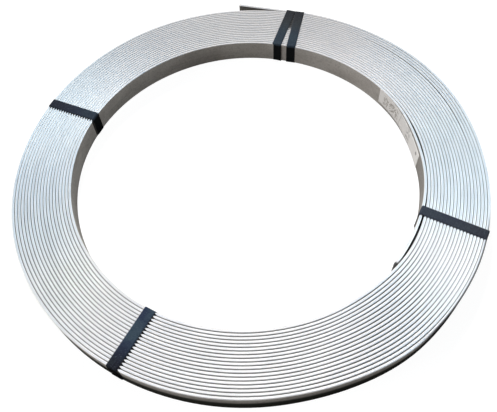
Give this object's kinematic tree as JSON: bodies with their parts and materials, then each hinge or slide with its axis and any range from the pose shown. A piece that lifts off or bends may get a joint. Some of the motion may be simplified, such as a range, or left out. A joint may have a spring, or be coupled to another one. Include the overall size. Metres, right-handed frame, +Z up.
{
  "type": "coil of grounding strip",
  "caption": "Coil of flat galvanised steel strip for grounding, wound on its flat, lying on its side and held by straps, with a paper label in the bore.",
  "frame": {"origin": "on the coil's axis, in the plane that the undersides of the straps rest on, 2 mm below the lower end of the bore wall", "axes": "+Z up along the coil's axis; the cut inner end is at 316 degrees and the free outer end at about 88 degrees, counted anticlockwise from +X seen from above"},
  "size_m": [0.5844, 0.5956, 0.0312],
  "materials": {
    "zinc": "hot-dip galvanised, satin with fine spangle",
    "strapping": "blue-black strapping steel, satin",
    "label": "matt paper"
  },
  "bodies": {
    "root": {"strip_coil": "zinc", "strap_front": "strapping", "strap_left": "strapping", "strap_right": "strapping", "strap_back_left": "strapping", "strap_back_right": "strapping", "label": "label"}
  },
  "joints": []
}
